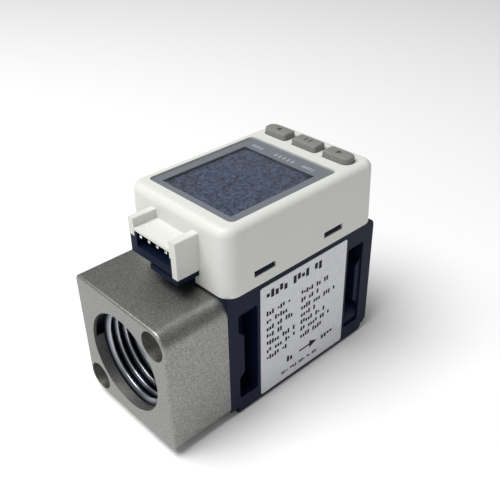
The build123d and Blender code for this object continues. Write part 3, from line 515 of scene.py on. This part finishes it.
# %% Print on the label
MARGIN = 1.6
SECOND_COLUMN = 11.6
HEADING_DROP = 3.3
HEADING_ROOM = 16.5
HEADING_HEIGHT = 1.9
LINE_DROP = 7.4
LINE_PITCH = 1.9
LINE_HEIGHT = 1.15
LINE_ROOMS = ((7.2, 9.0), (6.4, 5.5), (8.0, 10.5), (5.0, 4.5), (8.4, 8.0), (8.4, 9.5), (6.0, 7.0))
ARROW_DROP = 22.2
ARROW_TAIL = 11.4
ARROW_NECK = 14.6
ARROW_TIP = 17.0
ARROW_HALF = 1.0
SHAFT_LENGTH = 3.6
SHAFT_HEIGHT = 0.44
SIGN_HEIGHT = 1.5
SIGN_ROOMS = ((7.6, 2.6), (18.4, 4.4))
FOOT_INDENT = 6.0
FOOT_DROP = 25.6
FOOT_ROOM = 11.0
FOOT_HEIGHT = 0.8

dice = random.Random(11)
left = label_low.x / MM
top = label_high.z / MM
marks = word_row(dice, left + MARGIN, top - HEADING_DROP, HEADING_ROOM, HEADING_HEIGHT)
for row, rooms in enumerate(LINE_ROOMS):
    for column, room in zip((MARGIN, SECOND_COLUMN), rooms):
        marks += word_row(dice, left + column, top - LINE_DROP - row * LINE_PITCH, room, LINE_HEIGHT)
middle = top - ARROW_DROP
marks.append(bar(left + ARROW_TAIL, middle - SHAFT_HEIGHT / 2, SHAFT_LENGTH, SHAFT_HEIGHT))
neck = left + ARROW_NECK
marks.append([(neck, middle - ARROW_HALF), (left + ARROW_TIP, middle), (neck, middle + ARROW_HALF)])
for indent, room in SIGN_ROOMS:
    marks += word_row(dice, left + indent, middle - SIGN_HEIGHT / 2, room, SIGN_HEIGHT)
marks += word_row(dice, left + FOOT_INDENT, top - FOOT_DROP, FOOT_ROOM, FOOT_HEIGHT)

face = label_low.y / MM
label_plates = [[[(u, y, v) for u, v in mark] for y in (face, face - INK)] for mark in marks]
prisms("label_print", label_plates, dark_ink)

# %% [markdown]
# The window's border has a word on each side, next to the keys, and a scale of five short
# strokes between them. A word is one thin stroke and four letters. They are plates that lie on
# the sheet, made from the same bars as the label's.

# %% Print on the window
MARKS_INSET = 3.2
WORD_MIDDLES = (-7.2, 7.2)
FIRST_STROKE = {"along": 0.0, "across": -0.9, "length": 1.1, "width": 0.25}
LETTER = {"along": 0.2, "across": -0.2, "length": 0.9, "width": 0.34}
LETTERS = 4
LETTER_PITCH = 0.62
SCALE_MIDDLES = (-2.4, -1.2, 0.0, 1.2, 2.4)
SCALE_STROKE = {"along": 0.1, "across": -0.3, "length": 1.0, "width": 0.42}

inset = window_high.x / MM - MARKS_INSET
strokes = []
for middle in WORD_MIDDLES:
    strokes.append((middle, FIRST_STROKE))
    strokes += [(middle + number * LETTER_PITCH, LETTER) for number in range(LETTERS)]
strokes += [(middle, SCALE_STROKE) for middle in SCALE_MIDDLES]
marks = [
    bar(inset + stroke["along"], middle + stroke["across"], stroke["length"], stroke["width"])
    for middle, stroke in strokes
]
face = window_high.z / MM
window_plates = [[[(u, v, z) for u, v in mark] for z in (face, face + INK)] for mark in marks]
prisms("window_print", window_plates, pale_ink)

# %% [markdown]
# A pipe thread is one groove wound round the bore. It could be cut from the solid, but that
# makes a heavy mesh for a detail a millimetre deep. Here Geometry Nodes lay a flat grid along
# it instead: one direction of the grid runs round the helix, the other crosses the profile, and
# Set Position turns both into a place. The sizes are named inputs of the tree, so the same tree
# can be run again with others. The three helpers below start, end and run any such tree.

# %% Helpers for Geometry Nodes


def named_tree(name, sizes):
    """An empty geometry tree with named inputs for its sizes."""
    tree = bpy.data.node_groups.new(name, "GeometryNodeTree")
    for label, value in sizes.items():
        kind = "NodeSocketInt" if isinstance(value, int) else "NodeSocketFloat"
        tree.interface.new_socket(label, in_out="INPUT", socket_type=kind)
    tree.interface.new_socket("Geometry", in_out="OUTPUT", socket_type="NodeSocketGeometry")
    return tree, add_node(tree, "NodeGroupInput").outputs


def close_tree(tree, geometry, material):
    """Shade smooth, realize the instances and set the material, as the last steps."""
    smooth = add_node(tree, "GeometryNodeSetShadeSmooth", {"Geometry": geometry})
    real = add_node(tree, "GeometryNodeRealizeInstances", {0: smooth})
    paint = add_node(tree, "GeometryNodeSetMaterial", {"Geometry": real, "Material": material})
    add_node(tree, "NodeGroupOutput", {"Geometry": paint})
    return tree


def run_tree(name, tree, sizes):
    """The plain mesh that a tree makes. The object that ran it is removed again."""
    runner = bpy.data.objects.new(name, bpy.data.meshes.new(name))
    bpy.context.scene.collection.objects.link(runner)
    modifier = runner.modifiers.new("nodes", "NODES")
    modifier.node_group = tree
    for item in tree.interface.items_tree:
        if item.in_out == "INPUT":
            modifier[item.identifier] = sizes[item.name]
    graph = bpy.context.evaluated_depsgraph_get()
    mesh = bpy.data.meshes.new_from_object(runner.evaluated_get(graph))
    bpy.data.objects.remove(runner)
    print(name, len(mesh.polygons), "faces")
    return mesh


print("geometry trees so far:", len(bpy.data.node_groups))

# %% [markdown]
# The thread is turned after the block is blasted, so it is bare metal. Its crests stand in the
# light and look brighter than the blasted skin, and its roots, where little light gets in, look
# nearly black. This light and shade is painted into the colour, which follows the distance from
# the axis: a painted highlight on the crests and painted shade in the roots. The tool's marks
# are about 0.1 mm wide, and they are drawn at 0.35 mm so that they show.

# %% Port thread
THREAD_PITCH = 1.814
THREAD_START = 1.5
THREAD_TURNS = 5
THREAD_ROOT = 10.40
THREAD_DEPTH = 1.08
ROOT_SHADOW = 0.25
CREST_FLAT = 0.06
FADE_TURNS = 0.6
STEPS_PER_TURN = 96
PROFILE_ROWS = 17
TOOL_MARK = 0.35
THREAD_WALL = 0.05


def cut_thread():
    """Turned aluminium with painted light: a painted highlight near the axis, on the crests, and painted
    shade in the roots.
    """
    material, tree, shader = new_material("machined_aluminium", Metallic=1.0, Roughness=0.3)
    grain(tree, shader, size=TOOL_MARK, depth=0.008, detail=1.0)
    place = add_node(tree, "ShaderNodeTexCoord").outputs["Object"]
    flat = add_node(tree, "ShaderNodeVectorMath", {0: place, 1: (0.0, 1.0, 1.0)}, operation="MULTIPLY")
    radius = add_node(tree, "ShaderNodeVectorMath", {0: flat}, operation="LENGTH")
    crest = (THREAD_ROOT - THREAD_DEPTH) * MM
    root = (THREAD_ROOT - ROOT_SHADOW) * MM
    # Painted highlight on the crests and painted shade in the roots, blended by the distance from the axis.
    two_tone(tree, shader, radius.outputs["Value"], "#B4B9C1", "#080C18", low=crest, high=root)
    return material


def thread_tree(sizes, material):
    """X of the grid runs round the helix, and Y crosses the thread's profile."""
    tree, size = named_tree("helical_thread", sizes)
    counts = {0: size["Turns"], 1: size["Steps"], 2: 1}
    columns = add_node(tree, "ShaderNodeMath", counts, operation="MULTIPLY_ADD")
    grid = add_node(tree, "GeometryNodeMeshGrid", {
        "Size X": 1.0, "Size Y": 1.0, "Vertices X": columns, "Vertices Y": size["Rows"],
    })
    place = add_node(tree, "GeometryNodeInputPosition")
    x, y, _ = add_node(tree, "ShaderNodeSeparateXYZ", {0: place}).outputs
    share = add_node(tree, "ShaderNodeMath", {0: x, 1: 0.5}, operation="ADD")
    turns = add_node(tree, "ShaderNodeMath", {0: share, 1: size["Turns"]}, operation="MULTIPLY")
    flank = add_node(tree, "ShaderNodeMath", {0: y}, operation="ABSOLUTE")
    height = add_node(tree, "ShaderNodeMapRange", {
        "Value": flank, "From Min": size["Crest"], "From Max": 0.5, "To Min": size["Depth"], "To Max": 0.0,
    })
    fade_in = add_node(tree, "ShaderNodeMapRange", {"Value": turns, "From Max": size["Fade"]})
    depth = add_node(tree, "ShaderNodeMath", {0: height, 1: fade_in}, operation="MULTIPLY")
    radius = add_node(tree, "ShaderNodeMath", {0: size["Root"], 1: depth}, operation="SUBTRACT")
    pitches = add_node(tree, "ShaderNodeMath", {0: turns, 1: y}, operation="ADD")
    advance = {0: pitches, 1: size["Pitch"], 2: size["Start"]}
    along = add_node(tree, "ShaderNodeMath", advance, operation="MULTIPLY_ADD")
    unwound = add_node(tree, "ShaderNodeCombineXYZ", {0: along, 1: radius})
    angle = add_node(tree, "ShaderNodeMath", {0: turns, 1: 2 * math.pi}, operation="MULTIPLY")
    winding = {"Vector": unwound, "Angle": angle}
    wound = add_node(tree, "ShaderNodeVectorRotate", winding, rotation_type="X_AXIS")
    moved = add_node(tree, "GeometryNodeSetPosition", {"Geometry": grid, "Position": wound})
    joined = add_node(tree, "GeometryNodeMergeByDistance", {"Geometry": moved, "Distance": MERGE * MM})
    return close_tree(tree, joined, material)


thread_sizes = {
    "Turns": THREAD_TURNS, "Steps": STEPS_PER_TURN, "Rows": PROFILE_ROWS, "Pitch": THREAD_PITCH * MM,
    "Start": THREAD_START * MM, "Root": THREAD_ROOT * MM, "Depth": THREAD_DEPTH * MM,
    "Crest": CREST_FLAT, "Fade": FADE_TURNS,
}
thread_mesh = run_tree("port_thread", thread_tree(thread_sizes, cut_thread()), thread_sizes)
inward = sum(1 for p in thread_mesh.polygons if p.normal.y * p.center.y + p.normal.z * p.center.z < 0)
if inward < len(thread_mesh.polygons) / 2:
    thread_mesh.flip_normals()
thread = add_piece("port_thread", thread_mesh)
wall = thread.modifiers.new("wall", "SOLIDIFY")
wall.thickness = THREAD_WALL * MM
wall.offset = -1.0
print("thread faces that look at the axis:", inward)

# %% [markdown]
# The screens at both ends are woven from stainless wire. Each wire goes over one and under the
# next, which is a cosine along the wire whose sign changes from wire to wire, so one product of
# two cosines gives every wire of both families its wave. The straight wires are instances of
# one line, and a node that deletes what lies outside the circle trims them all at once.

# %% Woven screens
WIRE_PITCH = 1.0
WIRE_RADIUS = 0.12
SCREEN_RADIUS = 8.1
WIRES = 17
WIRE_STEPS = 97
WIRE_SIDES = 6
RIM_STEPS = 96
QUARTER_TURN = math.pi / 2


def screen_tree(sizes, material):
    """Two families of waved wires and a round rim, in the plane X = 0, then moved to Place."""
    tree, size = named_tree("woven_screen", sizes)
    minus = add_node(tree, "ShaderNodeMath", {0: size["Radius"], 1: -1.0}, operation="MULTIPLY")
    start = add_node(tree, "ShaderNodeCombineXYZ", {1: minus})
    end = add_node(tree, "ShaderNodeCombineXYZ", {1: size["Radius"]})
    line = add_node(tree, "GeometryNodeCurvePrimitiveLine", {"Start": start, "End": end})
    points = add_node(tree, "GeometryNodeResampleCurve", {"Curve": line, "Count": size["Steps"]})
    gaps = add_node(tree, "ShaderNodeMath", {0: size["Wires"], 1: 1}, operation="SUBTRACT")
    span = add_node(tree, "ShaderNodeMath", {0: size["Pitch"], 1: gaps}, operation="MULTIPLY")
    lowest = add_node(tree, "ShaderNodeMath", {0: span, 1: -0.5}, operation="MULTIPLY")
    first = add_node(tree, "ShaderNodeCombineXYZ", {2: lowest})
    step = add_node(tree, "ShaderNodeCombineXYZ", {2: size["Pitch"]})
    places = {"Count": size["Wires"], "Start Location": first, "Offset": step}
    row = add_node(tree, "GeometryNodeMeshLine", places)
    laid = add_node(tree, "GeometryNodeInstanceOnPoints", {"Points": row, "Instance": points})
    wires = add_node(tree, "GeometryNodeRealizeInstances", {0: laid})

    place = add_node(tree, "GeometryNodeInputPosition")
    away = add_node(tree, "ShaderNodeVectorMath", {0: place}, operation="LENGTH").outputs["Value"]
    outside = add_node(tree, "FunctionNodeCompare", {0: away, 1: size["Radius"]}, operation="GREATER_THAN")
    per_metre = add_node(tree, "ShaderNodeMath", {0: math.pi, 1: size["Pitch"]}, operation="DIVIDE")
    phase = add_node(tree, "ShaderNodeVectorMath", {0: place, "Scale": per_metre}, operation="SCALE")
    waves = add_node(tree, "ShaderNodeVectorMath", {0: phase}, operation="COSINE")
    _, wave_y, wave_z = add_node(tree, "ShaderNodeSeparateXYZ", {0: waves}).outputs
    weave = add_node(tree, "ShaderNodeMath", {0: wave_y, 1: wave_z}, operation="MULTIPLY")
    lift = add_node(tree, "ShaderNodeMath", {0: weave, 1: size["Wire radius"]}, operation="MULTIPLY")

    profile = add_node(tree, "GeometryNodeCurvePrimitiveCircle", {
        "Resolution": size["Wire sides"], "Radius": size["Wire radius"],
    })
    joined = add_node(tree, "GeometryNodeJoinGeometry")
    for side, turn in ((1, 0.0), (-1, QUARTER_TURN)):
        turned = add_node(tree, "GeometryNodeTransform", {"Geometry": wires, "Rotation": (turn, 0.0, 0.0)})
        chosen = {"Geometry": turned, "Selection": outside}
        trimmed = add_node(tree, "GeometryNodeDeleteGeometry", chosen, domain="POINT")
        wave = {0: lift, 1: side, 2: size["Place"]}
        depth = add_node(tree, "ShaderNodeMath", wave, operation="MULTIPLY_ADD")
        shift = add_node(tree, "ShaderNodeCombineXYZ", {0: depth})
        waved = add_node(tree, "GeometryNodeSetPosition", {"Geometry": trimmed, "Offset": shift})
        family = add_node(tree, "GeometryNodeCurveToMesh", {
            "Curve": waved, "Profile Curve": profile, "Fill Caps": True,
        })
        tree.links.new(family.outputs[0], joined.inputs[0])
    ring = add_node(tree, "GeometryNodeCurvePrimitiveCircle", {
        "Resolution": size["Rim steps"], "Radius": size["Radius"],
    })
    shift = add_node(tree, "ShaderNodeCombineXYZ", {0: size["Place"]})
    stood = add_node(tree, "GeometryNodeTransform", {
        "Geometry": ring, "Translation": shift, "Rotation": (0.0, QUARTER_TURN, 0.0),
    })
    rim = add_node(tree, "GeometryNodeCurveToMesh", {"Curve": stood, "Profile Curve": profile})
    tree.links.new(rim.outputs[0], joined.inputs[0])
    return close_tree(tree, joined, material)


for end_name in ("inlet", "outlet"):
    low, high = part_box(f"{end_name}_screen")
    screen_sizes = {
        "Radius": SCREEN_RADIUS * MM, "Pitch": WIRE_PITCH * MM, "Wire radius": WIRE_RADIUS * MM,
        "Place": (low.x + high.x) / 2, "Wires": WIRES, "Steps": WIRE_STEPS, "Wire sides": WIRE_SIDES,
        "Rim steps": RIM_STEPS,
    }
    woven = run_tree(f"{end_name}_woven_screen", screen_tree(screen_sizes, metals["wire"]), screen_sizes)
    add_piece(f"{end_name}_woven_screen", woven, stands_for=f"{end_name}_screen")

# %% [markdown]
# The camera stands where the photograph was taken from: its place, direction and lens come from
# the port block's and the housing's edges in the picture. A camera looks along its own -Z axis,
# so the matrix is built from the directions to the right, up and backwards.

# %% Camera
CAMERA_PLACE = (-50.99, -90.74, 91.06)
CAMERA_FORWARD = Vector((0.57158, 0.61343, -0.54497))
CAMERA_UP = Vector((0.38414, 0.38684, 0.83833))
CAMERA_LENS = 50.306
SENSOR_WIDTH = 36.0
NEAREST = 1.0

eye = bpy.data.cameras.new("camera")
eye.lens = CAMERA_LENS
eye.sensor_width = SENSOR_WIDTH
eye.clip_start = NEAREST * MM
camera = bpy.data.objects.new("camera", eye)
bpy.context.scene.collection.objects.link(camera)
right = CAMERA_FORWARD.cross(CAMERA_UP).normalized()
up = right.cross(CAMERA_FORWARD).normalized()
turn = Matrix((right, up, -CAMERA_FORWARD.normalized())).transposed().to_4x4()
camera.matrix_world = Matrix.Translation(Vector(CAMERA_PLACE) * MM) @ turn
bpy.context.scene.camera = camera
print("camera at", [round(v / MM, 1) for v in camera.location], "mm")

# %% [markdown]
# The picture was taken in a plain pale studio. The floor is matt, nearly white and much wider
# than the view, so that its edge never shows. A large soft light overhead, towards the connector
# end, gives the soft shadow under the object. A weak one from the left, and an even pale
# background, keep some shape in the sides that face away from it.

# %% Floor and light
FLOOR_HALF = 3000
FLOOR_Z = cad_box[0][2]
LIGHT_AIM = Vector((30, 0, 0)) * MM
LIGHTS = {
    "key_light": {"place": (-220, 100, 600), "width": 500, "watts": 4.8},
    "fill_light": {"place": (-600, -200, 200), "width": 500, "watts": 0.35},
}
BACKGROUND_STRENGTH = 0.26

reach = FLOOR_HALF * MM
corners = [(x * reach, y * reach, FLOOR_Z) for x, y in ((-1, -1), (1, -1), (1, 1), (-1, 1))]
floor_mesh = bpy.data.meshes.new("floor")
floor_mesh.from_pydata(corners, [], [(0, 1, 2, 3)])
floor = bpy.data.objects.new("floor", floor_mesh)
bpy.context.scene.collection.objects.link(floor)
floor_material, _, _ = new_material("pale_floor", Roughness=0.9, Base_Color=colour("#FAFAFA"))
floor_mesh.materials.append(floor_material)

for name, light in LIGHTS.items():
    lamp = bpy.data.lights.new(name, "AREA")
    lamp.shape = "DISK"
    lamp.size = light["width"] * MM
    lamp.energy = light["watts"]
    holder = bpy.data.objects.new(name, lamp)
    bpy.context.scene.collection.objects.link(holder)
    holder.location = Vector(light["place"]) * MM
    holder.rotation_euler = (LIGHT_AIM - holder.location).to_track_quat("-Z", "Y").to_euler()

world = bpy.data.worlds.new("studio")
world.use_nodes = True
background = world.node_tree.nodes["Background"]
background.inputs["Color"].default_value = colour("#FFFFFF")
background.inputs["Strength"].default_value = BACKGROUND_STRENGTH
bpy.context.scene.world = world
bpy.context.scene.view_settings.view_transform = "Standard"
print("lights:", ", ".join(LIGHTS))
